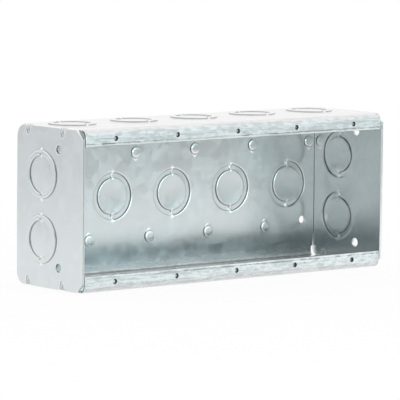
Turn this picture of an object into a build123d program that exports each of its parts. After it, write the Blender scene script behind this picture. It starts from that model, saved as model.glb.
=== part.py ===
from build123d import *
import os

# Five-gang steel wall box with an open front: a wrap folded from one sheet, and two end plates
# that tongues of the wrap clinch in place. Lengths are in millimetres.
# The pieces are drawn from the middle of the open front: X runs along the box, Y runs back into
# its depth and Z runs up. The finished box then stands on the rings of its bottom knockouts.

# Gangs, and the pair of device screws in the flanges of each one
gang_count = 5
gang_pitch = 46.04
device_screw_inset = 5.68  # from the outside of the top or the bottom
device_hole_diameter = 3.0

# Sheet and box
sheet = 1.6
box_height = 94.7
box_depth = 63.4
end_margin = 22.6  # from the middle of an outer gang to the inside of its end plate
flange_height = 9.9
front_bend_radius = 2.0  # inside radius
back_bend_radius = 1.4  # inside radius

# Seams between the wrap and the end plates
seam_gap = 0.1
flange_end_gap = 0.5
back_end_gap = 0.3
relief_depth = 2.3  # cut into the end of each back bend, past the gap of the back
relief_size = 7.0

# Concentric knockouts: a ring is pushed out of the sheet and two bridges hold it
# Each ring is drawn with flats in place of arcs, which keeps so many of them light
ring_diameter = 28.6
disc_diameter = 22.2
ring_flat_count = 20
lance_height = 0.85
bridge_width = 1.8
side_knockout_depth = 42.0  # from the front, on the top and the bottom
end_knockout_depth = 39.4  # from the front, on the end plates
end_knockout_spacing = 38.0

# Round pry-outs on the back, pushed in beside each line between two gangs
pryout_diameter = 7.2
pryout_flat_count = 10
pryout_height = 0.9
pryout_row_spacing = 51.4
pryout_offset = 5.4
pryout_ramp = 1.5  # length of the ramp that each one hangs on
pryout_ramp_width = 1.6

# Pair of fixing holes in the back, at opposite corners
back_hole_diameter = 4.6
back_hole_inset = 9.9  # from the inside of the end plate
back_hole_spacing = 46.4

# End plates
plate_corner_radius = 7.4
plate_chamfer_depth = 6.3
plate_chamfer_height = 5.3
end_hole_diameter = 5.2
end_hole_depth = 23.1  # from the front
end_hole_spacing = 69.1

# Clinch tongues of the wrap, and the notches in the end plates that they fold into
front_tongue_depth = 19.5  # from the front
rear_tongue_depth = 52.4  # from the front
notch_mouth = 6.0
notch_tip = 2.6
notch_depth = 5.6
tongue_clearance = 0.35
tongue_thickness = 0.9  # the clinch squeezes it thinner than the sheet
tongue_set = 0.5  # its outer face lies this far inside the plate's
tongue_fold = 0.6  # slant on the outside of its fold

# Faces that the other places are measured from
top = box_height / 2
device_screw_spacing = box_height - 2 * device_screw_inset
inner_half_length = gang_pitch * (gang_count - 1) / 2 + end_margin
outer_half_length = inner_half_length + sheet
wrap_half_length = inner_half_length - seam_gap
front_bend_outside = front_bend_radius + sheet
back_bend_outside = back_bend_radius + sheet
gang_middles = [gang_pitch * (i - (gang_count - 1) / 2) for i in range(gang_count)]


def block(x_range, y_range, z_range):
    """A box between two places along each axis."""
    lengths = [high - low for low, high in (x_range, y_range, z_range)]
    return Pos(x_range[0], y_range[0], z_range[0]) * Box(*lengths, align=Align.MIN)


def lanced_ring(outside):
    """The ring that a knockout raises on an outside face, and the groove that it leaves inside."""
    bridges = Rectangle(bridge_width, 2 * ring_diameter)
    rim = RegularPolygon(ring_diameter / 2, ring_flat_count)
    disc = RegularPolygon(disc_diameter / 2, ring_flat_count)
    ring = rim - disc - bridges
    raised = extrude(outside * ring, lance_height)
    groove = extrude(outside.offset(-sheet) * ring, lance_height)
    return raised, groove


def tapered_outline(mouth, tip, depth):
    """A tapered tab that hangs from the top edge, across Y and Z."""
    corners = [(mouth / 2, 0), (-mouth / 2, 0), (-tip / 2, -depth), (tip / 2, -depth)]
    return Polygon(*corners, align=None)


def four_ways(solid):
    """The solid and its mirror images in the other three corners of the box's length and height."""
    pair = [solid, mirror(solid, about=Plane.YZ)]
    return pair + [mirror(each, about=Plane.XY) for each in pair]


def folded_sheet():
    """The wrap before it is trimmed: one sheet bent round flange, top, back, bottom and flange."""
    bends = [front_bend_outside, back_bend_outside, back_bend_outside, front_bend_outside]
    lip = top - flange_height
    corners = [(0, lip), (0, top), (box_depth, top), (box_depth, -top), (0, -top), (0, -lip)]
    outside = Plane.YZ * FilletPolyline(*corners, radius=bends)
    folded = make_brake_formed(sheet, 2 * wrap_half_length, outside, side=Side.RIGHT)
    return Pos(-folded.center(CenterOf.BOUNDING_BOX).X, 0, 0) * folded


def end_trims():
    """What is cut off the sheet's ends: along the flanges, along the back and at the back bends."""
    flange_end = inner_half_length - flange_end_gap
    back_end = inner_half_length - back_end_gap
    relief_end = back_end - relief_depth
    past = outer_half_length
    relief_front = box_depth - relief_size
    flange = block((flange_end, past), (0, front_bend_outside), (0, top))
    back = block((back_end, past), (box_depth - back_bend_outside, box_depth), (0, top))
    relief = block((relief_end, past), (relief_front, box_depth), (top - relief_size, top))
    return four_ways(flange) + four_ways(back) + four_ways(relief)


def tongue(depth_from_front):
    """A tongue at the right end of the top, folded down into its notch."""
    outline = tapered_outline(
        notch_mouth - 2 * tongue_clearance,
        notch_tip - 2 * tongue_clearance,
        notch_depth - tongue_clearance,
    )
    outer_face = outer_half_length - tongue_set
    root_length = outer_face - wrap_half_length + sheet
    face = Plane.YZ.offset(outer_face) * Pos(depth_from_front, top)
    root_band = Pos(0, -sheet / 2) * Rectangle(notch_mouth, sheet)
    folded = extrude(face * outline, -tongue_thickness)
    root = extrude(face * (outline & root_band), -root_length)
    clinched = folded + root
    bend = clinched.edges().filter_by(Axis.Y).sort_by(Axis.Z)[-2:].sort_by(Axis.X)[-1]
    return chamfer(bend, tongue_fold)


def back_pryouts():
    """Discs pushed in from the back, each on a ramp that points at mid-height, and their dents."""
    rim = pryout_diameter / 2
    disc = extrude(RegularPolygon(rim, pryout_flat_count), pryout_height)
    side = [(0, 0), (rim + pryout_ramp, 0), (rim, pryout_height), (0, pryout_height)]
    slope = Plane.YZ * Polygon(*side, align=None)
    pushed = disc + extrude(slope, pryout_ramp_width / 2, both=True)
    inside = Plane((0, box_depth - sheet, 0), x_dir=(1, 0, 0), z_dir=(0, -1, 0))
    raised, dents = [], []
    for middle in gang_middles:
        upper = Pos(middle + gang_pitch / 2 - pryout_offset, pryout_row_spacing / 2) * Rot(0, 0, 180)
        lower = Rot(0, 0, 180) * upper
        for place in (upper, lower):
            raised.append(inside * place * pushed)
            dents.append(inside.offset(-sheet) * place * pushed)
    return raised, dents


def wrap_holes():
    """Device screw holes through both flanges, and the two fixing holes through the back."""
    through = 2 * sheet
    bore = Rot(90, 0, 0) * Cylinder(device_hole_diameter / 2, through)
    fixing = Rot(90, 0, 0) * Cylinder(back_hole_diameter / 2, through)
    half_spacing = device_screw_spacing / 2
    screws = [Pos(x, 0, z) * bore for x in gang_middles for z in (-half_spacing, half_spacing)]
    corner = (inner_half_length - back_hole_inset, -back_hole_spacing / 2)
    fixings = [Pos(side * corner[0], box_depth, side * corner[1]) * fixing for side in (-1, 1)]
    return screws + fixings


def make_folded_wrap():
    """The top, back, bottom and flanges in one sheet, with its knockouts, holes and tongues."""
    top_face = Plane((0, 0, top), x_dir=(1, 0, 0), z_dir=(0, 0, 1))
    bottom_face = Plane((0, 0, -top), x_dir=(1, 0, 0), z_dir=(0, 0, -1))
    back_face = Plane((0, box_depth, 0), x_dir=(-1, 0, 0), z_dir=(0, 1, 0))
    raised, cuts = back_pryouts()
    for middle in gang_middles:
        places = [
            top_face * Pos(middle, side_knockout_depth),
            bottom_face * Pos(middle, -side_knockout_depth),
            back_face * Pos(middle, 0),
        ]
        for place in places:
            ring, groove = lanced_ring(Plane(place))
            raised.append(ring)
            cuts.append(groove)
    wrap = folded_sheet() - end_trims() - wrap_holes() - cuts
    tongues = four_ways(tongue(front_tongue_depth)) + four_ways(tongue(rear_tongue_depth))
    return wrap + raised + tongues


def make_end_plate():
    """The right end plate: rounded behind, cut off at the front corners, notched for the tongues."""
    outline = Pos(box_depth / 2, 0) * Rectangle(box_depth, box_height)
    outline = fillet(outline.vertices().group_by(Axis.X)[-1], plate_corner_radius)
    cuts = [Polygon((0, 0), (0, -plate_chamfer_height), (plate_chamfer_depth, 0), align=None)]
    notch = tapered_outline(notch_mouth, notch_tip, notch_depth)
    cuts += [Pos(depth, 0) * notch for depth in (front_tongue_depth, rear_tongue_depth)]
    for cut in cuts:
        upper = Pos(0, top) * cut
        outline -= upper
        outline -= mirror(upper, about=Plane.XZ)
    for side in (-1, 1):
        outline -= Pos(end_hole_depth, side * end_hole_spacing / 2) * Circle(end_hole_diameter / 2)
    outside = Plane.YZ.offset(outer_half_length)
    plate = extrude(outside * outline, -sheet)
    for side in (-1, 1):
        place = outside * Pos(end_knockout_depth, side * end_knockout_spacing / 2)
        ring, groove = lanced_ring(Plane(place))
        plate = plate - groove + ring
    return plate


right_plate = make_end_plate()
pieces = {
    "folded_wrap": make_folded_wrap(),
    "right_end_plate": right_plate,
    "left_end_plate": mirror(right_plate, about=Plane.YZ),
}

# The rings stand proud all round, so they set how far the box is raised and moved to its origin
standing = Pos(0, -(box_depth + lance_height) / 2, top + lance_height)
os.makedirs("parts", exist_ok=True)
for name, piece in pieces.items():
    export_step(standing * piece, f"parts/{name}.step")
    print(name, round(piece.volume), "mm3")
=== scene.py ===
# %% [markdown]
# # A five-gang wall box in galvanised sheet steel
# The real box is three pressings. One long sheet is folded round flange, top, back, bottom and
# flange, and an end plate closes each end, held by tongues of the folded sheet.
# This lesson rebuilds each pressing the way a press shop does: draw the flat blank, punch and
# lance it, then fold it. Every step is a formula on whole numpy arrays.

import bpy
import numpy as np
from mathutils import Matrix, Vector
from mathutils.geometry import delaunay_2d_cdt


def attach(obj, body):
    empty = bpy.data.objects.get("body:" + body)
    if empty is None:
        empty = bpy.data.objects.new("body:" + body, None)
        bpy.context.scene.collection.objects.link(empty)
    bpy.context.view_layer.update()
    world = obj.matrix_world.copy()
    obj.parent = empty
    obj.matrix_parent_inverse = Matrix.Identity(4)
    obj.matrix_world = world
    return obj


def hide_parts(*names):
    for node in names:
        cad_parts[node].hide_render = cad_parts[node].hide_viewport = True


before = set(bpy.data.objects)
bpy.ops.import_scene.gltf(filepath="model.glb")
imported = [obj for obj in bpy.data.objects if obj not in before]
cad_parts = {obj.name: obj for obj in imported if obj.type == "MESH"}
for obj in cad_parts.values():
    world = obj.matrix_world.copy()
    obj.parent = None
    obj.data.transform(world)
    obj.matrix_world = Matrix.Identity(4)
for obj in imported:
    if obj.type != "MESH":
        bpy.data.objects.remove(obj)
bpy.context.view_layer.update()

# %% [markdown]
# ## The sizes
# Lengths are in millimetres, measured from the middle of the open front: X runs along the box,
# Y back into its depth and Z up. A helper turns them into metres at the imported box's place.

# %% Sizes of the sheet and of the box
SHEET = 1.6
HALF = SHEET / 2
GANG_PITCH = 46.04
GANG_MIDDLES = GANG_PITCH * np.arange(-2, 3)
END_MARGIN = 22.6
BOX_HEIGHT = 94.7
BOX_DEPTH = 63.4
TOP = BOX_HEIGHT / 2
PLATE_INSIDE = 2 * GANG_PITCH + END_MARGIN
PLATE_OUTSIDE = PLATE_INSIDE + SHEET
LANCE = 0.85
print("box", 2 * PLATE_OUTSIDE, "x", BOX_DEPTH, "x", BOX_HEIGHT, "mm")

# %% [markdown]
# ## Outlines
# A sheared sheet never has a knife-sharp corner, neither in its outline nor across its edge.
# An outline could be drawn with a Bezier curve object, but plain arrays are easier to measure.
# Each corner becomes an exact arc, long edges get points in between, and copies moved a little
# inwards will carry the rounding across the edge.

# %% Helpers for closed outlines
BLOCKS = 40


def unit(vectors):
    """Each vector divided by its length."""
    return vectors / np.linalg.norm(vectors, axis=-1, keepdims=True)


def round_corners(corners, radii, count=7):
    """Each corner becomes an arc, as a rational quadratic curve: its ends lie the radius times the
    tangent of half the turn from the corner, whose weight is the cosine of half the turn."""
    corners = np.asarray(corners, float)
    back = unit(np.roll(corners, 1, 0) - corners)
    ahead = unit(np.roll(corners, -1, 0) - corners)
    half_turn = (np.pi - np.arccos(np.clip((back * ahead).sum(1), -1, 1))) / 2
    reach = (radii * np.tan(half_turn))[:, None]
    start, end = corners + back * reach, corners + ahead * reach
    t = np.linspace(0, 1, count)[None, :, None]
    weight = np.cos(half_turn)[:, None, None]
    a, b, c = (1 - t) ** 2, 2 * t * (1 - t) * weight, t**2
    arcs = (a * start[:, None] + b * corners[:, None] + c * end[:, None]) / (a + b + c)
    return arcs.reshape(-1, 2)


def fill_edges(loop, step):
    """Splits every edge of a closed loop into equal parts no longer than the step."""
    edges = np.roll(loop, -1, 0) - loop
    parts = np.ceil(np.linalg.norm(edges, axis=1) / step).astype(int)
    which = np.repeat(np.arange(len(loop)), parts)
    first = np.repeat(np.cumsum(parts) - parts, parts)
    share = (np.arange(parts.sum()) - first) / parts[which]
    return loop[which] + edges[which] * share[:, None]


def inset(loop, distance):
    """Moves a counter-clockwise loop inwards: each point goes along the sum of the normals of its
    two edges, divided by one plus their product, so that both edges move by the distance."""
    ahead = unit(np.roll(loop, -1, 0) - loop)
    left = np.stack([-ahead[:, 1], ahead[:, 0]], axis=1)
    before = np.roll(left, 1, 0)
    return loop + distance * (left + before) / (1 + (left * before).sum(1, keepdims=True))


def circle(centre, radius, angles):
    """Points at a radius from a centre, in the order of the angles."""
    return np.asarray(centre) + radius * np.stack([np.cos(angles), np.sin(angles)], axis=1)


def loop_distance(points, loop):
    """Shortest distance from each point to the edges of a loop, worked out in blocks."""
    edges = np.roll(loop, -1, 0) - loop
    square = (edges**2).sum(1)

    def nearest(block):
        offset = block[:, None] - loop[None]
        along = np.clip((offset * edges).sum(2) / square, 0, 1)
        return np.linalg.norm(offset - along[..., None] * edges, axis=2).min(1)

    return np.concatenate([nearest(block) for block in np.array_split(points, BLOCKS)])


def loop_holds(points, loop):
    """True where a point is inside a loop: a ray to the right crosses it an odd number of times."""
    ends = np.roll(loop, -1, 0)
    rise = ends[:, 1] - loop[:, 1]
    rise = np.where(rise == 0, 1e-12, rise)

    def odd(block):
        x, y = block[:, :1], block[:, 1:]
        spans = (loop[:, 1] > y) != (ends[:, 1] > y)
        crossing = loop[:, 0] + (y - loop[:, 1]) / rise * (ends[:, 0] - loop[:, 0])
        return (spans & (x < crossing)).sum(1) % 2 == 1

    return np.concatenate([odd(block) for block in np.array_split(points, BLOCKS)])


square = round_corners([(0, 0), (10, 0), (10, 10), (0, 10)], np.full(4, 2.0))
print("a test square has", len(fill_edges(square, 1.0)), "points")

# %% [markdown]
# Every edge and lip of a pressing is rounded by about a quarter of an ellipse. A Bevel modifier
# gives little control over it. Here five steps of a quarter turn place its points.

# %% Quarter turns for edges and lips
QUARTER_TURN = np.radians([0, 22.5, 45, 67.5, 90])
QUARTER_IN, QUARTER_DOWN = 1 - np.cos(QUARTER_TURN), 1 - np.sin(QUARTER_TURN)
EDGE_ROUND, EDGE_MARGIN = 0.3, 0.22
EDGE_INSETS = (*EDGE_ROUND * QUARTER_IN, EDGE_ROUND + EDGE_MARGIN)


def smooth_rise(values, low, high):
    """Zero below low, one above high, and a cubic without corners between them."""
    t = np.clip((values - low) / (high - low), 0, 1)
    return t * t * (3 - 2 * t)


def quarter_fall(distance, width, depth):
    """A quarter of an ellipse that falls from the depth at an edge to nothing at the width from it."""
    share = np.clip(1 - distance / width, 0, 1)
    return depth * (1 - np.sqrt(1 - share**2))


def edge_loops(outline, step):
    """A filled outline and its copies further in, which carry the rounding of the edge."""
    filled = fill_edges(outline, step)
    return [inset(filled, distance) for distance in EDGE_INSETS]


print("edges are rounded by", EDGE_ROUND, "mm")

# %% [markdown]
# ## Lanced knockouts
# A knockout is a ring that a punch has pushed out by half of the sheet's thickness, so that it
# stands proud outside and leaves a groove inside. Two ties on opposite sides stay uncut.
# Cutting it with booleans would give knife edges. As a height above the blank it is two curves of
# the radius: a steep wall, with the roll of the metal on one lip.

# %% Heights of a knockout
RING, DISC = 14.3, 11.1
WALL = 0.03
LIP, LIP_DROP = 0.9, 0.3
TIE_HALF, TIE_RAMP = 0.7, 0.5
TIE_REACH, TIE_HEIGHT = 1.5, 0.24
# The crack shade is painted shade in the fine cracks along a knockout's circles.
CRACK_HALF, CRACK_SHADE = 0.3, 0.28
RISE_IN = np.r_[0, WALL + LIP * QUARTER_IN]
RISE_UP = np.r_[0, LANCE - LIP_DROP * QUARTER_DOWN]
ROLL_IN, ROLL_UP = LIP * QUARTER_IN, LIP_DROP * QUARTER_DOWN
RING_RADII = np.unique(np.r_[
    4.0, 8.0, 9.6, (DISC + RING) / 2, 15.6, 17.2,
    DISC - ROLL_IN, DISC + RISE_IN, RING - RISE_IN, RING + ROLL_IN,
])
SIDE_ANGLES = np.arange(-75, 80, 6)
TIE_SIDE = np.radians(np.arange(1, 9, 1.5))
TIE_ANGLES = np.r_[-TIE_SIDE, TIE_SIDE]
RING_ANGLES = np.sort(np.r_[
    np.radians(SIDE_ANGLES), np.radians(SIDE_ANGLES + 180),
    np.pi / 2 + TIE_ANGLES, -np.pi / 2 + TIE_ANGLES,
])


def knockout_heights(x, y, dome, tip):
    """Heights of the outside and of the inside face at x and y from the middle of a knockout.
    Outside, the ring's own lips are rolled; inside, those of the sheet beside it. The ring fades
    out across each tie, where a low diamond of drawn metal is, and the disc is domed and tipped."""
    r = np.hypot(x, y)
    outside = np.interp(r, np.r_[DISC + RISE_IN, RING - RISE_IN[::-1]], np.r_[RISE_UP, RISE_UP[::-1]])
    inside = np.interp(
        r,
        np.r_[DISC - ROLL_IN[::-1], DISC + WALL, RING - WALL, RING + ROLL_IN],
        np.r_[ROLL_UP[::-1], LANCE, LANCE, ROLL_UP],
    )
    fade = smooth_rise(np.abs(x), TIE_HALF, TIE_HALF + TIE_RAMP)
    across = np.clip(1 - np.abs(x) / TIE_REACH, 0, 1)
    along = np.clip(np.minimum(r - DISC + TIE_REACH, RING + TIE_REACH - r) / TIE_REACH, 0, 1)
    tie = TIE_HEIGHT * across * along
    on_disc = r < DISC + 0.01
    disc = np.where(on_disc, dome * (1 - (r / DISC) ** 2) + tip[0] * x + tip[1] * y, 0)
    return np.maximum(outside * fade, tie) + disc, np.maximum(inside * fade, tie) + disc


def knockout_shaded_cracks(x, y):
    """Fine cracks along the circles of a knockout, darkened as painted shade in them, except across its
    ties.
    """
    r = np.hypot(x, y)
    cracks_and_shade = np.minimum(np.abs(r - RING), np.abs(r - DISC)) < CRACK_HALF
    return np.where(cracks_and_shade & (np.abs(x) > TIE_HALF), CRACK_SHADE, 0.0)


print("ring", 2 * RING, "mm across,", len(RING_RADII), "radii by", len(RING_ANGLES), "angles")

# %% [markdown]
# No two discs come out of the press alike, so each has a dome and a tip of its own. A seeded
# generator draws the same ones in every run.

# %% Press knockouts into a sheet
KNOCKOUT_REACH = RING_RADII[-1] + 0.5
DISC_DOME, DISC_TIP = (0.3, 0.4), 0.003
wobble = np.random.default_rng(5)


def radius_from(points, centre):
    """How far each point is from a centre."""
    return np.hypot(*(points - centre).T)


def press_knockouts(points, centres, outside, inside):
    """Adds every knockout to the heights of both faces, and gives its cracks with painted shade at each
    point.
    """
    shaded_cracks = np.zeros(len(points))
    for centre in centres:
        near = radius_from(points, centre) < KNOCKOUT_REACH
        x, y = (points[near] - centre).T
        dome, tip = wobble.uniform(*DISC_DOME), wobble.normal(0, DISC_TIP, 2)
        lift_out, lift_in = knockout_heights(x, y, dome, tip)
        outside[near] += lift_out
        inside[near] += lift_in
        shaded_cracks[near] = knockout_shaded_cracks(x, y)
    return shaded_cracks


print("a knockout reaches", round(KNOCKOUT_REACH, 2), "mm from its middle")

# %% [markdown]
# ## Pry-outs
# The back has two rows of small round pry-outs, pushed in from behind. Their rims are broad and
# rolled, and beside each one the sheet is drawn up into a small dart that points at mid-height.
# These are heights above the blank too.

# %% Heights of a pry-out
PRYOUT, PRYOUT_HEIGHT = 3.6, 0.9
PRYOUT_BULGE, PRYOUT_FALL = 0.14, 0.2
PRYOUT_ROLL, PRYOUT_ROLL_DEPTH = 0.95, 0.4
PRYOUT_LIP, PRYOUT_MARGIN = 0.35, 0.3
PRYOUT_IN = np.r_[0, WALL + PRYOUT_ROLL * QUARTER_IN]
PRYOUT_UP = 1 - np.r_[PRYOUT_HEIGHT, PRYOUT_ROLL_DEPTH * QUARTER_DOWN] / PRYOUT_HEIGHT
DART_START, DART_CREST = PRYOUT + PRYOUT_LIP * QUARTER_IN[1:3]
DART_LENGTH, DART_HALF_WIDTH, DART_HEIGHT = 1.6, 2.2, 0.28
DART_SIDE = 0.3
PRYOUT_RADII = np.unique(np.r_[
    1.3, PRYOUT - WALL - PRYOUT_ROLL - PRYOUT_MARGIN, PRYOUT - PRYOUT_IN,
    PRYOUT + PRYOUT_LIP * QUARTER_IN, PRYOUT + PRYOUT_LIP + PRYOUT_MARGIN,
])
DART_RADII = DART_CREST + DART_LENGTH * np.array([0.45, 0.65, 0.85, 1.05])
DART_ANGLES = np.radians(np.arange(58, 123, 4))
PLAIN_ANGLES = np.arange(-50, 58, 12)
PRYOUT_ANGLES = np.r_[
    np.radians(PLAIN_ANGLES), DART_ANGLES, np.radians(PLAIN_ANGLES + 180), DART_ANGLES + np.pi
]


def pryout_heights(x, y):
    """Heights of the outside and of the inside face, both below zero because it is pushed inwards,
    at x and y from the middle of a pry-out whose dart points along +y. The disc bulges and falls
    away towards its dart, a flat ramp that narrows to a point."""
    r = np.hypot(x, y)
    bulge = PRYOUT_BULGE * np.clip(r / PRYOUT, 0, 1) ** 2
    fall = PRYOUT_FALL * np.clip(y / PRYOUT, 0, 1) ** 4
    height = PRYOUT_HEIGHT * (1 - bulge - fall)
    inside = np.interp(r, PRYOUT - PRYOUT_IN[::-1], PRYOUT_UP[::-1])
    outside = np.interp(
        r,
        np.r_[PRYOUT - WALL, PRYOUT + PRYOUT_LIP * QUARTER_IN],
        np.r_[1, PRYOUT_LIP * QUARTER_DOWN / PRYOUT_HEIGHT],
    )
    left_over = np.clip(1 - (r - DART_CREST) / DART_LENGTH, 0, 1)
    across = np.clip((DART_HALF_WIDTH * left_over - np.abs(x)) / DART_SIDE, 0, 1)
    rise = np.interp(r, [DART_START, DART_CREST], [0, 1]) * (y > 0)
    dart = DART_HEIGHT / PRYOUT_HEIGHT * rise * left_over * across
    return -height * np.maximum(outside, dart), -height * np.maximum(inside, dart)


print("pry-out", 2 * PRYOUT, "mm across, with a dart", DART_LENGTH, "mm long")

# %% [markdown]
# ## From a web of triangles to a sheet
# The flat blank needs points along every outline, lip and bend, and few elsewhere. A regular grid
# would have to be very fine to follow the circles. A constrained Delaunay web takes any points and
# keeps the given edges, so the round features stay round.

# %% The web
HOLE_ANGLES = np.radians(np.arange(0, 360, 10))
HOLE_MARGIN, WEB_TOLERANCE = 1.0, 1e-5
KNOCKOUT_ROOM, HOLE_ROOM = RING_RADII[-1] + 0.9, 1.6


def hole_loops(holes):
    """Each hole's edge and the circles round it that carry the rounding of the edge."""
    steps = (*EDGE_INSETS, HOLE_MARGIN)
    return [circle(centre, radius + step, HOLE_ANGLES) for centre, radius in holes for step in steps]


def hole_distance(points, holes):
    """Distance of each point from the edge of the nearest hole, a centre and a radius each."""
    return np.min([np.abs(radius_from(points, c) - radius) for c, radius in holes], axis=0)


def sheared_drop(points, outline, holes):
    """How far a face falls away at the rounded edges of an outline and its holes."""
    edge = np.minimum(loop_distance(points, outline), hole_distance(points, holes))
    return quarter_fall(edge, EDGE_ROUND, EDGE_ROUND)


def clear_of(points, places):
    """True where a point is outside every place, a centre and a radius each."""
    return np.all([radius_from(points, centre) > radius for centre, radius in places], axis=0)


def feature_places(knockouts, holes):
    """Places that bring points of their own, so that loose points keep clear of them."""
    return [(c, KNOCKOUT_ROOM) for c in knockouts] + [(c, r + HOLE_ROOM) for c, r in holes]


def web(loops, rows, loose, outline, holes):
    """Triangles between closed loops, open rows and loose points, kept where their middle is inside
    the outline and outside every hole, and turned counter-clockwise."""
    lines = loops + rows
    starts = np.cumsum([0] + [len(line) for line in lines])
    edges = []
    for number, line in enumerate(lines):
        index = starts[number] + np.arange(len(line))
        pairs = np.stack([index, np.roll(index, -1)], axis=1)
        edges.append(pairs if number < len(loops) else pairs[:-1])
    given, edges = np.vstack(lines + [loose]).tolist(), np.vstack(edges).tolist()
    made = delaunay_2d_cdt(given, edges, [], 0, WEB_TOLERANCE, False)
    points, faces = np.array(made[0], float), np.array(made[2])
    middles = points[faces].mean(1)
    faces = faces[loop_holds(middles, outline) & clear_of(middles, holes)]
    a, b, c = points[faces].transpose(1, 0, 2)
    turned = (b - a)[:, 0] * (c - a)[:, 1] - (b - a)[:, 1] * (c - a)[:, 0] < 0
    faces[turned] = faces[turned][:, ::-1]
    used, faces = np.unique(faces, return_inverse=True)
    return points[used], faces.reshape(-1, 3)


print("loose points keep", round(KNOCKOUT_ROOM, 1), "mm from a knockout's middle")

# %% [markdown]
# A shear rubs its way into the sheet and then breaks through, a lancing punch tears the walls of a
# knockout, and the lips that the metal flows over come out bright. The slope of the height tells
# these apart, so each face can carry a mark that the finish reads later.

# %% Marks of the cut
POLISHED, CUT, TORN = -0.5, 0.5, 1.0
LIP_SLOPE, STEEP = 0.08, 2.0


def steepness(points, heights, faces):
    """Slope of a height over each triangle of the web: the length of the gradient of its plane."""
    a, b, c = points[faces].transpose(1, 0, 2)
    level_a, level_b, level_c = heights[faces].T
    rise_b, rise_c = level_b - level_a, level_c - level_a
    to_b, to_c = b - a, c - a
    double_area = to_b[:, 0] * to_c[:, 1] - to_b[:, 1] * to_c[:, 0]
    along_x = rise_b * to_c[:, 1] - rise_c * to_b[:, 1]
    along_y = rise_c * to_b[:, 0] - rise_b * to_c[:, 0]
    return np.hypot(along_x, along_y) / np.maximum(double_area, 1e-9)


def cut_marks(points, heights, drop, faces, torn=TORN):
    """The torn mark on the steep walls that the lancing punch has made, the cut mark on the steep
    part of the sheared edges, the polished mark on the lips between, and zero on the flats."""
    walls = steepness(points, heights, faces) > STEEP
    slope = steepness(points, heights - drop, faces)
    lips = (slope > LIP_SLOPE) & (slope <= STEEP)
    return np.where(lips, POLISHED, np.maximum(torn * walls, CUT * (slope > STEEP)))


print("lips slope by", LIP_SLOPE, "to", STEEP, "and walls by more")

# %% [markdown]
# The same web serves the outside and the inside face of the sheet, and a strip along its open
# edges joins them into one closed skin. A Solidify modifier would do that too, but the two faces
# of a lanced sheet differ in height, so each one gets its own.

# %% The sheet
def add_object(name, data):
    """A new object in the scene."""
    made = bpy.data.objects.new(name, data)
    bpy.context.scene.collection.objects.link(made)
    return made


def to_frame(points):
    """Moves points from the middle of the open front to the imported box's place, in metres."""
    return (points + np.array([0, -(BOX_DEPTH + LANCE) / 2, TOP + LANCE])) / 1000


def sheet_object(name, outer, inner, faces, cuts, marks, bands):
    """One closed mesh: the outer face, the inner face turned over, and a strip in two bands along
    each edge that only one triangle of the web has. Cuts mark the faces of both sides, bands those
    of the strip, and marks the points."""
    count = len(outer)
    edges = faces[:, [0, 1, 1, 2, 2, 0]].reshape(-1, 2)
    forward, backward = edges @ [count, 1], edges @ [1, count]
    first, second = edges[~np.isin(forward, backward)].T
    rim = np.unique(np.r_[first, second])
    halfway = 2 * count + np.searchsorted(rim, np.arange(count))
    rows = [(first, second), (halfway[first], halfway[second]), (first + count, second + count)]
    strips = [
        np.vstack([np.stack([b, a, c], axis=1), np.stack([b, c, d], axis=1)])
        for (a, b), (c, d) in zip(rows, rows[1:])
    ]
    triangles = np.vstack([faces, faces[:, ::-1] + count, *strips])
    points = to_frame(np.vstack([outer, inner, (outer[rim] + inner[rim]) / 2]))
    mesh = bpy.data.meshes.new(name)
    mesh.from_pydata(points, [], triangles, shade_flat=False)
    sheared = np.concatenate([*cuts, *(np.tile(band[first], 2) for band in bands)]).astype(np.float32)
    mesh.attributes.new("sheared", "FLOAT", "FACE").data.foreach_set("value", sheared)
    for mark, (outside, inside) in marks.items():
        values = np.r_[outside, inside, (outside[rim] + inside[rim]) / 2].astype(np.float32)
        mesh.attributes.new(mark, "FLOAT", "POINT").data.foreach_set("value", values)
    mesh.validate()
    print(name, len(points), "points,", len(triangles), "triangles")
    return add_object(name, mesh)


print("the middle of the open front stands at", to_frame(np.zeros(3)))

# %% [markdown]
# ## The folded wrap
# A press brake folds the punched blank along four lines. The blank is measured along X and along
# the middle of the sheet's thickness, from the lip of the top flange to the lip of the bottom one.
# Folding is then a formula: the path turns at a constant rate in each bend, and a point that lies
# above the sheet's middle is carried out along the normal.

# %% The path of the fold
FLANGE_HEIGHT = 9.9
FRONT_BEND, BACK_BEND = 3.6, 3.0
FRONT_MIDDLE, BACK_MIDDLE = FRONT_BEND - HALF, BACK_BEND - HALF
QUARTER = np.pi / 2
upper_lengths = [
    FLANGE_HEIGHT - FRONT_BEND, QUARTER * FRONT_MIDDLE,
    BOX_DEPTH - FRONT_BEND - BACK_BEND, QUARTER * BACK_MIDDLE,
]
upper_turns = [0, -1 / FRONT_MIDDLE, 0, -1 / BACK_MIDDLE]
RUN_LENGTHS = np.array([*upper_lengths, BOX_HEIGHT - 2 * BACK_BEND, *upper_lengths[::-1]])
RUN_TURNS = np.array([*upper_turns, 0, *upper_turns[::-1]])
RUN_STARTS = np.r_[0, np.cumsum(RUN_LENGTHS)]
RUN_HEADINGS = QUARTER + np.r_[0, np.cumsum(RUN_LENGTHS * RUN_TURNS)]
BLANK = RUN_STARTS[-1]


def run_step(heading, turn, length):
    """Where a run of some length ends: straight on, or round an arc when it turns."""
    bent = turn != 0
    rate = np.where(bent, turn, 1.0)
    after = heading + turn * length
    y = np.where(bent, (np.sin(after) - np.sin(heading)) / rate, length * np.cos(heading))
    z = np.where(bent, (np.cos(heading) - np.cos(after)) / rate, length * np.sin(heading))
    return y, z


RUN_STEPS = np.stack(run_step(RUN_HEADINGS[:-1], RUN_TURNS, RUN_LENGTHS), axis=1)
PATH_START = np.array([HALF, TOP - FLANGE_HEIGHT])
RUN_CORNERS = PATH_START + np.vstack([[0, 0], np.cumsum(RUN_STEPS, axis=0)])
print("blank", round(BLANK, 2), "mm from lip to lip, in", len(RUN_LENGTHS), "runs")

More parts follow.
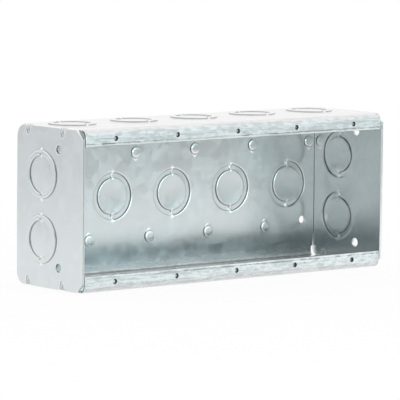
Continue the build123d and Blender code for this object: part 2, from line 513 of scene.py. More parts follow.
# %% [markdown]
# At the ends of the top and the bottom, tongues fold over the edge of the plates and are hammered
# thinner. They could be modelled by themselves, but folded with the blank they share its skin.

# %% Folding
PANEL_END = PLATE_INSIDE - 0.1
TONGUE_FOLD = PANEL_END - 0.05
TONGUE_RADIUS, TONGUE_STRAIGHT = 0.8, 3.85
TONGUE_THIN = 0.9 / SHEET


def fold(u, s, w):
    """Carries points of the blank, at u along the box, s along the path and w above its middle, to
    their place on the box. Past the fold of a tongue, u runs round an arc and then straight in,
    and the height is squeezed as the clinch thins the metal."""
    run = np.clip(np.searchsorted(RUN_STARTS, s, side="right") - 1, 0, len(RUN_LENGTHS) - 1)
    length = s - RUN_STARTS[run]
    step_y, step_z = run_step(RUN_HEADINGS[run], RUN_TURNS[run], length)
    heading = RUN_HEADINGS[run] + RUN_TURNS[run] * length
    past = np.abs(u) - TONGUE_FOLD
    angle = np.clip(past / TONGUE_RADIUS, 0, QUARTER)
    squeeze = 1 - (1 - TONGUE_THIN) * angle / QUARTER
    radius = TONGUE_RADIUS + w * squeeze
    straight = np.maximum(past - QUARTER * TONGUE_RADIUS, 0)
    x = np.where(past > 0, TONGUE_FOLD + radius * np.sin(angle), np.abs(u)) * np.sign(u)
    out = np.where(past > 0, radius * np.cos(angle) - TONGUE_RADIUS - straight, w)
    y = RUN_CORNERS[run, 0] + step_y - np.sin(heading) * out
    z = RUN_CORNERS[run, 1] + step_z + np.cos(heading) * out
    return np.stack([x, y, z], axis=1)


lips = fold(np.zeros(2), np.array([0, BLANK]), np.zeros(2))
print("the lips end at Y and Z", np.round(lips[:, 1:], 3).tolist())

# %% [markdown]
# The outline of the blank steps in at the flanges, at the back and at the reliefs of the back
# bends, and has four tapered tongues at each end. Near the bottom, the back's ends lean away from
# the plates, which opens a thin slit there.

# %% The outline of the blank
FLANGE_END = PLATE_INSIDE - 0.5
BACK_END = PLATE_INSIDE - 0.2
BACK_LEAN, LEAN_START = 0.6, -30
RELIEF_END = PLATE_INSIDE - 1.9
RELIEF_SIZE = 7.0
TOP_START, BACK_START = RUN_STARTS[2], RUN_STARTS[4]
TONGUE_DEPTHS = (19.5, 52.4)
TONGUE_TIP = TONGUE_FOLD + QUARTER * TONGUE_RADIUS + TONGUE_STRAIGHT
TONGUE_HALVES = (2.85, 1.15)
BLANK_CORNER = 0.16


def top_at(depth):
    """The place along the path of a depth on the top panel."""
    return TOP_START + depth - FRONT_BEND


def back_at(height):
    """The place along the path of a height on the back."""
    return BACK_START + TOP - BACK_BEND - height


def tapered(places, root, tip, root_half, tip_half):
    """Corners of tapered tabs or notches: their roots and tips at two levels, along a row of places."""
    levels, steps = (root, tip, tip, root), (-root_half, -tip_half, tip_half, root_half)
    return [(level, place + step) for place in places for level, step in zip(levels, steps)]


TONGUE_S = [top_at(depth) for depth in TONGUE_DEPTHS]
RELIEF_START, RELIEF_STOP = top_at(BOX_DEPTH - RELIEF_SIZE), back_at(TOP - RELIEF_SIZE)
upper_end = np.array(
    [(FLANGE_END, 0), (FLANGE_END, TOP_START), (PANEL_END, TOP_START)]
    + tapered(TONGUE_S, PANEL_END, TONGUE_TIP, *TONGUE_HALVES)
    + [(PANEL_END, RELIEF_START), (RELIEF_END, RELIEF_START)]
    + [(RELIEF_END, RELIEF_STOP), (BACK_END, RELIEF_STOP)]
)
lower_end = upper_end[::-1] * [1, -1] + [0, BLANK]
lower_end[0, 0] -= BACK_LEAN
right_end = np.vstack([upper_end, [BACK_END, back_at(LEAN_START)], lower_end])
blank_corners = np.vstack([right_end, right_end[::-1] * [-1, 1]])
blank_outline = round_corners(blank_corners, np.full(len(blank_corners), BLANK_CORNER), count=4)
print("outline", len(blank_outline), "points")

# %% [markdown]
# The blank has fifteen knockouts, ten pry-outs, ten device screw holes and two fixing holes. The
# device holes are punched from the front and threaded, which narrows their inner rims.

# %% Places of the features
SIDE_KNOCKOUT_DEPTH = 42.0
PRYOUT_OFFSET, PRYOUT_ROW = 5.4, 25.7
DEVICE_HOLE, DEVICE_INSET = 1.5, 5.68
BACK_HOLE, BACK_HOLE_INSET, BACK_HOLE_HEIGHT = 2.3, 9.9, 23.2
HOLE_TAPER, TAPER_REACH = 0.6, 1.5

top_row = top_at(SIDE_KNOCKOUT_DEPTH)
wrap_knockouts = np.array([(x, s) for s in (top_row, BLANK / 2, BLANK - top_row) for x in GANG_MIDDLES])
upper_pryouts = GANG_MIDDLES + GANG_PITCH / 2 - PRYOUT_OFFSET
wrap_pryouts = np.array(
    [(x, back_at(PRYOUT_ROW), 1) for x in upper_pryouts]
    + [(-x, back_at(-PRYOUT_ROW), -1) for x in upper_pryouts]
)
device_s = FLANGE_HEIGHT - DEVICE_INSET
device_holes = [((x, s), DEVICE_HOLE) for x in GANG_MIDDLES for s in (device_s, BLANK - device_s)]
fixing_holes = [
    ((side * (PLATE_INSIDE - BACK_HOLE_INSET), back_at(-side * BACK_HOLE_HEIGHT)), BACK_HOLE)
    for side in (-1, 1)
]
wrap_holes = device_holes + fixing_holes


def narrowed(points, holes):
    """Points pulled towards the middle of the hole that they are near, and less further from it."""
    moved = points.copy()
    for centre, radius in holes:
        offset = centre - points
        gap = np.linalg.norm(offset, axis=1, keepdims=True)
        moved += HOLE_TAPER * np.clip(1 - (gap - radius) / TAPER_REACH, 0, 1) * offset / gap
    return moved


print(len(wrap_knockouts), "knockouts,", len(wrap_pryouts), "pry-outs and", len(wrap_holes), "holes")

# %% [markdown]
# Between the features the web needs rows of points: close together in each bend and along the lips
# of the flanges, where the surface turns, and a few millimetres apart on the panels.

# %% The web of the wrap
LIP_ROWS = (0.75, 0.95, 1.15, 1.45, 1.8)
BEND_STEPS, BEND_MARGIN = 7, 0.45
FLAT_STEP = 4.6
ROW_POINTS, ROW_END = 55, 0.75
BLANK_STEP = 2.4
TONGUE_POINTS = (0.9, 1.8, 2.7, 3.6)
PRYOUT_ROOM = DART_RADII[-1] + 0.4


def wrap_half_length(s):
    """Half of the blank's length at a place along the path, without its tongues."""
    s = np.minimum(s, BLANK - s)
    front = np.where(s < TOP_START, FLANGE_END, PANEL_END)
    steps = np.where(s < RELIEF_START, front, RELIEF_END)
    return np.where(s > RELIEF_STOP, BACK_END - BACK_LEAN, steps)


def bend_rows(start, end):
    """Rows through a bend, with one row beside it on either side."""
    return np.r_[start - BEND_MARGIN, np.linspace(start, end, BEND_STEPS), end + BEND_MARGIN]


def flat_rows(start, length):
    """Rows evenly spaced in a flat run between two bends."""
    count = max(3, round(length / FLAT_STEP)) + 1
    return np.linspace(start + BEND_MARGIN, start + length - BEND_MARGIN, count)[1:-1]


def row_points(s):
    """Points along each row, from one end of the blank to the other."""
    share = np.linspace(-1, 1, ROW_POINTS)
    u = share[None] * (wrap_half_length(s) - ROW_END)[:, None]
    return np.stack([u, np.broadcast_to(s[:, None], u.shape)], axis=2)


panel_rows = np.concatenate(list(map(flat_rows, RUN_STARTS[0:9:2], RUN_LENGTHS[::2])))
panel_points = row_points(panel_rows).reshape(-1, 2)
places = feature_places(wrap_knockouts, wrap_holes) + [(c[:2], PRYOUT_ROOM) for c in wrap_pryouts]
tongue_points = [
    (side * (PANEL_END + reach), place)
    for side in (-1, 1) for s in TONGUE_S for place in (s, BLANK - s) for reach in TONGUE_POINTS
]
loose = np.vstack([
    panel_points[clear_of(panel_points, places)], wrap_knockouts, wrap_pryouts[:, :2], tongue_points,
])
wrap_loops = edge_loops(blank_outline, BLANK_STEP)
wrap_loops += [circle(c, r, RING_ANGLES) for c in wrap_knockouts for r in RING_RADII]
wrap_loops += [circle(c[:2], r, PRYOUT_ANGLES) for c in wrap_pryouts for r in PRYOUT_RADII]
wrap_loops += hole_loops(wrap_holes)
close_rows = np.concatenate(list(map(bend_rows, RUN_STARTS[1:8:2], RUN_STARTS[2:9:2])))
close_rows = np.r_[close_rows, LIP_ROWS, BLANK - np.array(LIP_ROWS)]
wrap_rows = list(row_points(close_rows))
wrap_rows += [circle(c[:2], r, c[2] * DART_ANGLES) for c in wrap_pryouts for r in DART_RADII]
wrap_web, wrap_faces = web(wrap_loops, wrap_rows, loose, blank_outline, wrap_holes)
print("wrap web", len(wrap_web), "points,", len(wrap_faces), "triangles")

# %% [markdown]
# ## Pressing the wrap
# A thin sheet is never quite flat, so shallow waves run over the panels and die out at the bends.
# Knockouts, pry-outs and the rolled lips of the flanges are added to them. Sculpting could do this
# by hand, but sums of heights can be read and changed.

# %% Heights of the wrap
WAVE_HEIGHT, WAVE_FADE = 0.07, (0.5, 14.0)
LIP_WIDTH, LIP_DEPTH = 1.1, 0.3
PRYOUT_REACH = DART_RADII[-1] + 0.2
TORN_HALF, PUSHED = 1.5 * WALL, -0.02


def panel_wave(u, s):
    """Shallow waves in the sheet's height, the sum of three crossing ripples, faded out at bends."""
    ripple = (
        np.sin(u / 13.7 + 0.021 * s + 0.6) * np.cos(s / 11.3 + 0.4)
        + 0.8 * np.sin(u / 21.0 - s / 17.0 + 1.9)
        + 0.5 * np.cos(u / 8.1 + s / 9.7)
    )
    from_bend = np.abs(s[:, None] - RUN_STARTS[1:9]).min(1)
    return WAVE_HEIGHT * ripple * smooth_rise(from_bend, *WAVE_FADE)


u, s = wrap_web.T
from_lip = np.minimum(s, BLANK - s)
outside = panel_wave(u, s)
inside = outside.copy()
shaded_cracks = press_knockouts(wrap_web, wrap_knockouts, outside, inside)
torn_rims, rolls = np.zeros(len(u), bool), np.zeros(len(u), bool)
for x, y, way in wrap_pryouts:
    r = np.hypot(u - x, s - y)
    near = r < PRYOUT_REACH
    lift_out, lift_in = pryout_heights(u[near] - x, (s[near] - y) * way)
    outside[near] += lift_out
    inside[near] += lift_in
    torn_rims |= np.abs(r - PRYOUT) < TORN_HALF
    rolls[near] |= (way < 0) & (lift_in < PUSHED) & (r[near] > PRYOUT - PRYOUT_ROLL)
outside = np.minimum(outside, LANCE)
outside -= quarter_fall(from_lip, LIP_WIDTH, LIP_DEPTH)
drop = sheared_drop(wrap_web, blank_outline, wrap_holes)
print("heights from", round(inside.min(), 2), "to", round(outside.max(), 2), "mm")

# %% [markdown]
# After the press and the carton, grime marks a scrape on a flange, and the torn rims of the
# pry-outs are darker. Painted shade darkens the threads, the crease behind the lips, the ends of the
# front bends and the tongues. The flanges and the stretched back bends are rubbed. Painted masks
# would need a picture, so these are marks on the points, worked out from the same distances.

# %% Marks of wear and painted shade on the wrap
ON_EDGE = 0.02
# Levels of painted shade in the threads, at the bend ends, in the crease and on the tongues, of
# darkening round the torn rims, and of grime in one scrape.
THREAD_SHADE, RIM_DARKENING = 2.0, 1.3
UPPER_END_SHADE, LOWER_END_SHADE = 1.8, 1.2
CREASE, CREASE_WIDTH, CREASE_SHADE = LIP_ROWS[3], 0.35, 0.8
SCRAPE_X, SCRAPE_LENGTH, SCRAPE_WIDTH, SCRAPE_GRIME = -97, 8, 0.4, 1.2
RUBBED_START, WEAR_MARGIN, ROLL_RUBBED = RUN_STARTS[1] + 0.5, 1, 0.7
BACK_BEND_HALF = RUN_LENGTHS[3] / 2
BACK_BEND_MIDDLE = (RUN_STARTS[3] + RUN_STARTS[4]) / 2
TONGUE_SHADE, TONGUE_SHADE_SIDES, TONGUE_SHADE_ENDS = 0.6, (0.1, 1.3), (2.7, 4.2)
CREASE_LINE_SHADE, CREASE_LINE_HALF, OUTSIDE_CRACK_SHADE = 0.35, 0.05, 0.15

# Painted shade on the walls of the threaded device holes.
thread_shade = THREAD_SHADE * (hole_distance(wrap_web, device_holes) < ON_EDGE)
# Painted shade along the crease behind each flange's lip.
crease_shade = CREASE_SHADE * np.exp(-(((from_lip - CREASE) / CREASE_WIDTH) ** 2))
across, along = (s - CREASE) / SCRAPE_WIDTH, (u - SCRAPE_X) / SCRAPE_LENGTH
scrape = SCRAPE_GRIME * np.exp(-(across**2) - along**4)
# Painted shade at the ends of the front bends, where they meet the plates, deeper at the top than at the
# bottom.
in_bend = (from_lip > RUN_STARTS[1]) & (from_lip < TOP_START + WEAR_MARGIN)
bend_end_shade = in_bend * (np.abs(np.abs(u) - FLANGE_END) < ON_EDGE)
bend_end_shade = bend_end_shade * np.where(s < BLANK / 2, UPPER_END_SHADE, LOWER_END_SHADE)
# Outside: grime in one scrape, and painted shade in the crease, the threads and at the bend ends.
outside_grime_and_shade = np.max([crease_shade, scrape, thread_shade, bend_end_shade], axis=0)
# Inside: painted shade in the threads and at the bend ends, and darker round the torn rims of the
# pry-outs.
inside_darkening = np.max([thread_shade, RIM_DARKENING * torn_rims, bend_end_shade], axis=0)

rubbed = 1 - smooth_rise(from_lip, RUBBED_START, TOP_START)
past_bend = np.abs(from_lip - BACK_BEND_MIDDLE) - BACK_BEND_HALF
stretched = 1 - smooth_rise(past_bend, 0, WEAR_MARGIN)

# Painted shade over the folded tongues, strongest along their middles.
off_middle = np.abs(from_lip[:, None] - np.array(TONGUE_S)).min(1)
past_panel = np.abs(u) - PANEL_END
tongue_shade = TONGUE_SHADE * (past_panel > 0) * (1 - smooth_rise(off_middle, *TONGUE_SHADE_SIDES))
tongue_shade *= 1 - smooth_rise(past_panel, *TONGUE_SHADE_ENDS)
# A sharper line of painted shade in the same crease, among the crack marks.
crease_line_shade = CREASE_LINE_SHADE * (np.abs(from_lip - CREASE) < CREASE_LINE_HALF)
# Outside crack marks: faint knockout cracks, with painted shade on the tongues and along the crease.
outside_cracks_and_shade = np.max([OUTSIDE_CRACK_SHADE * shaded_cracks, tongue_shade, crease_line_shade], axis=0)
print("grime on", int((outside_grime_and_shade > 0).sum()), "points of the wrap's outside")

# %% [markdown]
# With the heights and marks in place, folding is one call for each face. The lower lip faces up and
# collects dust, so it isn't polished like the others.

# %% Fold the wrap
WRAP_OUTSIDE_TORN = 0.1

outside_cuts = cut_marks(wrap_web, outside, drop, wrap_faces, torn=WRAP_OUTSIDE_TORN)
lower_lip = s[wrap_faces].min(1) > BLANK - LIP_ROWS[-1]
outside_cuts[lower_lip] = np.maximum(outside_cuts[lower_lip], 0)
sheared_band = np.full(len(u), CUT)
wrap = sheet_object(
    "pressed_wrap",
    fold(u, s, HALF - drop + outside),
    fold(*narrowed(wrap_web, device_holes).T, -HALF + drop + inside),
    wrap_faces,
    (outside_cuts, cut_marks(wrap_web, inside, -drop, wrap_faces)),
    {
        "rubbed": (rubbed, np.maximum(stretched, ROLL_RUBBED * rolls)),
        "grime_and_shade": (outside_grime_and_shade, inside_darkening),
        "cracks_and_shade": (outside_cracks_and_shade, shaded_cracks),
    },
    (sheared_band, sheared_band),
)

# %% [markdown]
# ## The end plates
# Each end plate is a flat pressing: rounded behind, cut off at the front corners, notched for the
# tongues, with two knockouts and two holes. It is the same web on the plane of Y and Z, without a
# fold, and its loose points are a plain grid.

# %% The web of a plate
CHAMFER_DEPTH, CHAMFER_HEIGHT = 6.3, 5.3
PLATE_CORNER, PLATE_SMALL_CORNER = 7.4, 0.45
NOTCH_HALVES, NOTCH_DEPTH = (3.0, 1.3), 5.6
END_KNOCKOUT_DEPTH, END_KNOCKOUT_HEIGHT = 39.4, 19.0
END_HOLE, END_HOLE_DEPTH, END_HOLE_HEIGHT = 2.6, 23.1, 34.55
PLATE_STEP = 2.0
GRID_MARGIN, GRID_CLEARANCE, GRID_COUNTS = 2, 1.2, (16, 24)

notches = tapered(TONGUE_DEPTHS, TOP, TOP - NOTCH_DEPTH, *NOTCH_HALVES)
upper_edge = np.array(
    [(0, TOP - CHAMFER_HEIGHT), (CHAMFER_DEPTH, TOP)] + [(y, z) for z, y in notches] + [(BOX_DEPTH, TOP)]
)
plate_corners = np.vstack([upper_edge[::-1], upper_edge * [1, -1]])
plate_radii = np.where(plate_corners[:, 0] == BOX_DEPTH, PLATE_CORNER, PLATE_SMALL_CORNER)
plate_outline = round_corners(plate_corners, plate_radii, count=9)
plate_knockouts = np.array([(END_KNOCKOUT_DEPTH, side * END_KNOCKOUT_HEIGHT) for side in (-1, 1)])
plate_holes = [((END_HOLE_DEPTH, side * END_HOLE_HEIGHT), END_HOLE) for side in (-1, 1)]
plate_loops = edge_loops(plate_outline, PLATE_STEP)
plate_loops += [circle(c, r, RING_ANGLES) for c in plate_knockouts for r in RING_RADII]
plate_loops += hole_loops(plate_holes)
grid_y = np.linspace(GRID_MARGIN, BOX_DEPTH - GRID_MARGIN, GRID_COUNTS[0])
grid_z = np.linspace(GRID_MARGIN - TOP, TOP - GRID_MARGIN, GRID_COUNTS[1])
grid = np.stack(np.meshgrid(grid_y, grid_z), axis=2).reshape(-1, 2)
clear = clear_of(grid, feature_places(plate_knockouts, plate_holes))
clear &= loop_holds(grid, plate_outline) & (loop_distance(grid, plate_outline) > GRID_CLEARANCE)
loose = np.vstack([grid[clear], plate_knockouts])
plate_web, plate_faces = web(plate_loops, [], loose, plate_outline, plate_holes)
print("plate web", len(plate_web), "points,", len(plate_faces), "triangles")

# %% [markdown]
# The left plate is the right one in a mirror, so its triangles turn the other way. A Mirror modifier
# would do, but the left plate's front edge is torn and darkened as painted shade, and the bores of its
# holes carry painted shade.

# %% The two plates
PLATE_WAVE = 0.06
PLATE_OUTSIDE_TORN = 0.6
PLATE_INSIDE_RUBBED = 0.05
BORE_SHADE = 1.6
FRONT_EDGE = 1

y, z = plate_web.T
ripple = np.sin(y / 10.0 + 0.5) * np.cos(z / 14.0 + 0.3) + 0.7 * np.sin(z / 22.0 - y / 15.0)
outside = PLATE_WAVE * ripple
inside = outside.copy()
shaded_cracks = press_knockouts(plate_web, plate_knockouts, outside, inside)
outside = np.minimum(outside, LANCE)
drop = sheared_drop(plate_web, plate_outline, plate_holes)
plate_cuts = (
    cut_marks(plate_web, outside, drop, plate_faces, torn=PLATE_OUTSIDE_TORN),
    cut_marks(plate_web, inside, -drop, plate_faces),
)
clean = np.zeros(len(y))
# Painted shade on the bores of the left plate's holes.
shaded_bores = BORE_SHADE * (hole_distance(plate_web, plate_holes) < ON_EDGE)
polished_band = np.full(len(y), POLISHED)
# The outer half of the left plate's front edge is torn steel, darkened also as painted shade along that
# edge.
torn_and_shaded_front = np.where(y < FRONT_EDGE, TORN, POLISHED)
plates = {}
for name, side, grime_and_shade, outer_band in (
    ("left", -1, shaded_bores, torn_and_shaded_front), ("right", 1, clean, polished_band),
):
    plates[name] = sheet_object(
        f"pressed_{name}_plate",
        np.stack([side * (PLATE_OUTSIDE - drop + outside), y, z], axis=1),
        np.stack([side * (PLATE_INSIDE + drop + inside), y, z], axis=1),
        plate_faces[:, ::side],
        plate_cuts,
        {
            "rubbed": (clean, clean + PLATE_INSIDE_RUBBED),
            "grime_and_shade": (grime_and_shade, grime_and_shade),
            "cracks_and_shade": (shaded_cracks, shaded_cracks),
        },
        (outer_band, polished_band),
    )

# %% [markdown]
# ## Node helpers
# Materials and light are node trees. Building them by hand in the editor hides the numbers, so a
# small class adds one kind of node with each method and gives its output.

# %% A class that adds nodes
class Nodes:
    """Adds nodes to one tree. A value is an output to link, or a fixed number or colour to set."""

    def __init__(self, tree):
        self.tree = tree

    def fill(self, sockets, values):
        """Links or sets each socket."""
        for socket, value in zip(sockets, values):
            if isinstance(value, bpy.types.NodeSocket):
                self.tree.links.new(value, socket)
            else:
                socket.default_value = value

    def add(self, kind, **values):
        """A node with its named inputs filled."""
        node = self.tree.nodes.new("ShaderNode" + kind)
        self.fill([node.inputs[name.replace("_", " ")] for name in values], values.values())
        return node

    def math(self, operation, *values, kind="Math"):
        """A number worked out from two others."""
        node = self.add(kind)
        node.operation = operation
        self.fill(node.inputs, values)
        return node.outputs["Value"]

    def along(self, place, way):
        """How far a place lies along a fixed vector: the product of the two."""
        return self.math("DOT_PRODUCT", place, way, kind="VectorMath")

    def span(self, value, low, high, smooth=True, **levels):
        """A number that goes from one level to another while a value goes from low to high."""
        node = self.add("MapRange", Value=value, From_Min=low, From_Max=high, **levels)
        node.interpolation_type = "SMOOTHSTEP" if smooth else "LINEAR"
        return node.outputs["Result"]

    def ramp(self, value, stops):
        """A grey level read from stops, each a position and a level."""
        node = self.add("ValToRGB", Fac=value)
        elements = node.color_ramp.elements
        for position, level in stops:
            elements.new(position).color = (level, level, level, 1)
        elements.remove(elements[0])
        elements.remove(elements[-1])
        return node.outputs["Color"]

    def mix(self, share, first, second, kind="FLOAT"):
        """A number between two others."""
        node = self.add("Mix")
        node.data_type = kind
        self.fill([socket for socket in node.inputs if socket.enabled], (share, first, second))
        return next(socket for socket in node.outputs if socket.enabled)

    def blend(self, share, first, second):
        """A colour between two others."""
        return self.mix(share, first, second, kind="RGBA")

    def shader(self, share, first, second):
        """A shader between those of two nodes."""
        node = self.add("MixShader")
        self.fill(node.inputs, (share, first.outputs[0], second.outputs[0]))
        return node

    def noise(self, place, scale, detail, stretch=(1, 1, 1)):
        """Smooth noise whose pattern is pressed together along each axis by the stretch."""
        place = self.add("Mapping", Vector=place, Scale=stretch).outputs["Vector"]
        return self.add("TexNoise", Vector=place, Scale=scale, Detail=detail).outputs["Fac"]

    def mark(self, name):
        """A mark of the mesh."""
        node = self.add("Attribute")
        node.attribute_name = name
        return node.outputs["Fac"]

    def mirror_rays(self):
        """One for rays that come from metal or glass, and zero for others."""
        rays = self.add("LightPath").outputs
        return self.math("MAXIMUM", rays["Is Glossy Ray"], rays["Is Transmission Ray"])


print("node helpers ready")

# %% [markdown]
# ## Galvanised steel
# Hot-dipped zinc is a grey metal with a soft, cloudy shine. Its crystals, the spangle, are a few
# millimetres across and differ slightly in brightness, and fine streaks follow the rolling of the
# sheet. Rubbed flanges are duller and scuffed, and bare steel shows where the press has cut. A
# painted picture could hold all this, but noise on the object's own coordinates has no seams.

# %% The finish
ZINC = ((0.67, 0.715, 0.722, 1), (0.80, 0.845, 0.852, 1))
SCUFFED_ZINC = ((0.62, 0.635, 0.635, 1), (0.81, 0.83, 0.83, 1))
POLISHED_ZINC = (0.93, 0.95, 0.952, 1)
BARE_STEEL = ((0.44, 0.455, 0.46, 1), (0.62, 0.635, 0.64, 1))
TORN_STEEL = (0.32, 0.33, 0.335, 1)
# The colour of grime, also used for painted shade in holes, in the crease and at the bend ends.
GRIME_AND_SHADE_COLOUR = (0.16, 0.165, 0.17, 1)
# The colour of cracks, also used for painted shade in them, on the tongues and along the crease.
CRACK_SHADE_COLOUR = (0.22, 0.23, 0.235, 1)
CUT_ROUGHNESS = 0.42


def galvanised_steel(name):
    """A metal that varies with the crystals and clouds of its zinc and with the marks of the mesh, among
    them painted shade.
    """
    material = bpy.data.materials.new(name)
    material.use_nodes = True
    tree = material.node_tree
    nodes = Nodes(tree)
    shader = tree.nodes["Principled BSDF"]
    sheared, rubbed, grime_and_shade, cracks_and_shade = map(nodes.mark, ("sheared", "rubbed", "grime_and_shade", "cracks_and_shade"))
    place = nodes.add("TexCoord").outputs["Object"]
    clouds = nodes.noise(place, 38.0, 5.0)
    grain = nodes.noise(place, 1800.0, 2.0)
    streaks = nodes.noise(place, 90.0, 4.0, (0.12, 3.0, 3.0))
    scuffs = nodes.noise(place, 420.0, 6.0, (0.5, 1.6, 1.6))
    scratches = nodes.noise(place, 400.0, 3.0, (0.06, 3.0, 3.0))
    specks = nodes.noise(place, 800.0, 1.0, (0.6, 1.3, 1.3))
    cells = nodes.add("TexVoronoi", Vector=place, Scale=170.0).outputs["Color"]
    crystals = nodes.add("SeparateColor", Color=cells).outputs[0]

    # Zinc: clouds, crystals, streaks and grain in turn, then scuffs and polish
    tone = nodes.mix(0.35, clouds, crystals)
    tone = nodes.mix(0.25, tone, streaks)
    tone = nodes.mix(0.15, tone, grain)
    scuff_level = nodes.span(nodes.mix(0.45, scuffs, scratches), 0.40, 0.58)
    zinc = nodes.blend(rubbed, nodes.blend(tone, *ZINC), nodes.blend(scuff_level, *SCUFFED_ZINC))
    polish = nodes.span(sheared, POLISHED, 0.0, smooth=False, To_Min=0.85, To_Max=0.0)
    zinc = nodes.blend(polish, zinc, POLISHED_ZINC)

    # Steel: bare where it is cut and darker where it is torn
    torn = nodes.span(sheared, CUT, TORN, smooth=False)
    steel = nodes.blend(torn, nodes.blend(streaks, *BARE_STEEL), TORN_STEEL)
    cut = nodes.span(sheared, 0.0, CUT, smooth=False)
    colour = nodes.blend(cut, zinc, steel)

    # Dirt and painted shade: grime and painted shade less the patches of wear, specks and scratches on
    # what is rubbed, then cracks and the painted shade in them
    patches = nodes.span(nodes.mix(0.5, streaks, scuffs), 0.42, 0.56, To_Max=0.95)
    specks = nodes.span(specks, 0.68, 0.76, To_Max=0.45)
    specks = nodes.math("MAXIMUM", specks, nodes.span(scratches, 0.60, 0.70, To_Max=0.4))
    dirt_and_shade = nodes.math("SUBTRACT", grime_and_shade, patches)
    dirt_and_shade = nodes.math("MAXIMUM", dirt_and_shade, nodes.math("MULTIPLY", specks, rubbed))
    colour = nodes.blend(dirt_and_shade, colour, GRIME_AND_SHADE_COLOUR)
    colour = nodes.blend(cracks_and_shade, colour, CRACK_SHADE_COLOUR)

    # Shine: smooth zinc, duller where it is rubbed or cut
    shine = nodes.span(tone, 0.3, 0.7, To_Min=0.18, To_Max=0.26)
    shine = nodes.mix(rubbed, shine, nodes.span(scuffs, 0.3, 0.7, To_Min=0.52, To_Max=0.44))
    shine = nodes.mix(cut, shine, CUT_ROUGHNESS)
    bump = nodes.add("Bump", Height=nodes.mix(0.5, grain, scuffs), Strength=0.04, Distance=0.0004)
    sockets = [shader.inputs[name] for name in ("Metallic", "Base Color", "Roughness", "Normal")]
    nodes.fill(sockets, (1.0, colour, shine, bump.outputs["Normal"]))
    return material


steel = galvanised_steel("galvanised_steel")
solids = {"folded_wrap": wrap, "left_end_plate": plates["left"], "right_end_plate": plates["right"]}
for node, piece in solids.items():
    piece.data.materials.append(steel)
    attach(piece, "root")
    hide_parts(node)
print("the finish has", len(steel.node_tree.nodes), "nodes, on", len(solids), "pieces")

# %% [markdown]
# ## Camera
# The photograph was taken with a long lens from the front left, a little above the box. The camera
# could be moved by eye, but the corners and holes of a box of known size fix it well: its place,
# turn and lens come from a fit to them.

# %% The camera
FOCAL_PIXELS, PHOTO_PIXELS, SENSOR = 3652.96, 400, 36
CAMERA_PLACE = (-1391.8, -1654.4, 225.6)
CAMERA_TURNS = ((-39.48, "Z"), (90 - 5.95, "X"), (0.56, "Z"))
camera_data = bpy.data.cameras.new("camera")
camera_data.lens = SENSOR * FOCAL_PIXELS / PHOTO_PIXELS
camera_data.clip_end = 100
camera = add_object("camera", camera_data)
turn = Matrix()
for angle, axis in CAMERA_TURNS:
    turn = turn @ Matrix.Rotation(np.radians(angle), 4, axis)
camera.matrix_world = Matrix.Translation(to_frame(np.array(CAMERA_PLACE))) @ turn
bpy.context.scene.camera = camera
print("lens", round(camera_data.lens, 1), "mm")

# %% [markdown]
# ## The floor
# Bright metal looks like the room around it, so the room is part of the finish. The box stands on a
# table that is white to the camera and keeps the shadow. Where the metal mirrors the table, its
# brightness changes with the place, as under real lamps. A picture of a room could light the box,
# but a ramp of grey levels can be tuned to the metal's gradients.

# %% The floor
FLOOR_HALF = 6
FLOOR_SLOPE, FLOOR_MIDDLE = (0.25, -0.43, 0), 0.5
FLOOR_LEVELS = (
    (0.05, 0.75), (0.2, 0.88), (0.38, 1.0), (0.5, 0.95), (0.56, 0.99),
    (0.70, 0.95), (0.755, 0.66), (0.80, 0.41), (0.86, 0.28), (0.91, 0.52),
)
LEFT_SIDE = (-0.767, -0.633, 0)
floor_mesh = bpy.data.meshes.new("floor")
floor_corners = [(x * FLOOR_HALF, y * FLOOR_HALF, 0) for x, y in ((-1, -1), (1, -1), (1, 1), (-1, 1))]
floor_mesh.from_pydata(floor_corners, [], [(0, 1, 2, 3)])
floor = add_object("floor", floor_mesh)
paper = bpy.data.materials.new("white_table")
paper.use_nodes = True
tree = paper.node_tree
tree.nodes.remove(tree.nodes["Principled BSDF"])
nodes = Nodes(tree)
in_mirrors = nodes.mirror_rays()
place = nodes.add("TexCoord").outputs["Object"]
level = nodes.ramp(nodes.math("ADD", nodes.along(place, FLOOR_SLOPE), FLOOR_MIDDLE), FLOOR_LEVELS)
shade = nodes.span(nodes.along(place, LEFT_SIDE), 0.1, 0.3, To_Min=0.98, To_Max=0.84)
mirrored = nodes.add("Emission", Color=level, Strength=shade)
matt = nodes.add("BsdfDiffuse", Color=(0.9, 0.9, 0.9, 1))
from_middle = nodes.math("LENGTH", place, kind="VectorMath")
whiteness = nodes.span(from_middle, 0.2, 0.5, To_Min=0.93, To_Max=1.0)
seen = nodes.shader(whiteness, matt, nodes.add("Emission"))
unseen = nodes.shader(in_mirrors, matt, mirrored)
whole = nodes.shader(nodes.add("LightPath").outputs["Is Camera Ray"], unseen, seen)
tree.links.new(whole.outputs[0], tree.nodes["Material Output"].inputs["Surface"])
floor_mesh.materials.append(paper)
print("the floor has", len(FLOOR_LEVELS), "levels in mirrors")

# %% [markdown]
# ## The room and its lamp
# Behind the box there is a bright, slightly warm wall, and in front of it a cooler one with a low
# strip of light along its foot. The strip is low so that the top of the box doesn't mirror it from
# behind. The side where the camera stands is dim. All of this shows in mirrors only: to the camera
# the room is plain white.

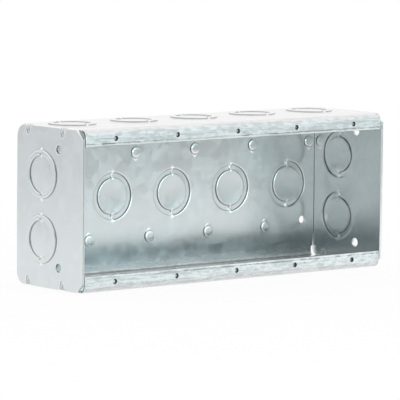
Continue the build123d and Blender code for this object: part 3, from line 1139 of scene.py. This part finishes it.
# %% The room
BRIGHT_WALL = (0.55, 0.75, 0.35)
FRONT_STRIP = (-0.25, -0.97, 0)
CAMERA_SIDE = (-0.633, -0.767, 0.10)
COOL, WARM, WHITE = (0.77, 1.0, 1.045, 1), (1.04, 1.0, 1.0, 1), (1, 1, 1, 1)
LAMP_PLACE, LAMP_TARGET = (0.05, 0.1, 1.1), (0, 0, 0.05)
LAMP_SIZE, LAMP_POWER = (2.4, 2.0), 1.0
world = bpy.data.worlds.new("studio")
bpy.context.scene.world = world
world.use_nodes = True
tree = world.node_tree
nodes = Nodes(tree)
in_mirrors = nodes.mirror_rays()
place = nodes.add("TexCoord").outputs["Generated"]
height = nodes.add("SeparateXYZ", Vector=place).outputs["Z"]
wallward = nodes.span(nodes.along(place, BRIGHT_WALL), -0.4, 0.5)
wall = nodes.mix(wallward, 1.02, 1.04)
warmth = nodes.math("MAXIMUM", wallward, nodes.span(height, 0.15, 0.4))
low = nodes.span(height, 0.14, 0.24, To_Min=1.0, To_Max=0.0)
strip = nodes.math("MULTIPLY", low, nodes.span(nodes.along(place, FRONT_STRIP), 0.55, 0.9, To_Max=3.0))
dim = nodes.span(nodes.along(place, CAMERA_SIDE), 0.82, 0.96, To_Min=1.0, To_Max=0.12)
room = nodes.math("MULTIPLY", nodes.math("ADD", wall, strip), dim)
colour = nodes.blend(in_mirrors, WHITE, nodes.blend(warmth, COOL, WARM))
background = tree.nodes["Background"]
tree.links.new(colour, background.inputs["Color"])
tree.links.new(nodes.mix(in_mirrors, 1.0, room), background.inputs["Strength"])

lamp = bpy.data.lights.new("overhead", "AREA")
lamp.shape = "RECTANGLE"
lamp.size, lamp.size_y = LAMP_SIZE
lamp.energy = LAMP_POWER
turn = (Vector(LAMP_TARGET) - Vector(LAMP_PLACE)).to_track_quat("-Z", "Y").to_matrix().to_4x4()
add_object("overhead", lamp).matrix_world = Matrix.Translation(LAMP_PLACE) @ turn
bpy.context.scene.view_settings.view_transform = "Standard"
print("a bright room in mirrors, plain white elsewhere, and one soft lamp")
